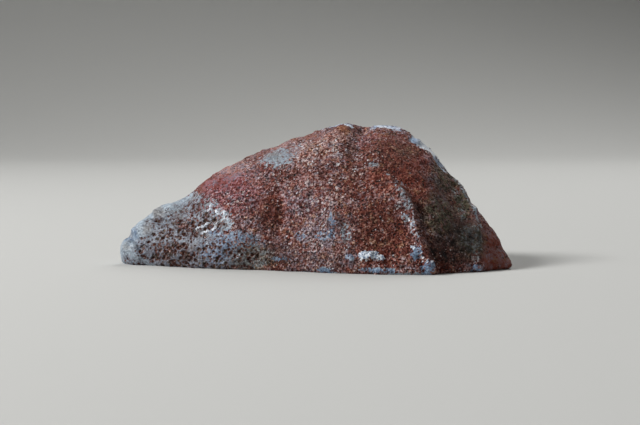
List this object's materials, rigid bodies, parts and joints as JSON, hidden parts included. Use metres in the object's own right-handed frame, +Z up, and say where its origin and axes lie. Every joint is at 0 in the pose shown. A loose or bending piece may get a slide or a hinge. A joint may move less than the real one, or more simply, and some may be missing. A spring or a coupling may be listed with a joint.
{
  "type": "half agate nodule",
  "caption": "Half of a natural banded agate nodule, sawn flat underneath, with a granular red-brown rind and blue-grey chalcedony showing through it.",
  "frame": {"origin": "on the sawn resting face, in the middle of the stone's box seen from above", "axes": "+X along the stone towards its steep end, +Y away from the pictured side, +Z up from the sawn face to the crest"},
  "size_m": [0.067, 0.038, 0.0245],
  "materials": {
    "rind": "matte, granular weathered rind over chalcedony"
  },
  "bodies": {
    "root": {"agate": "rind"}
  },
  "joints": []
}
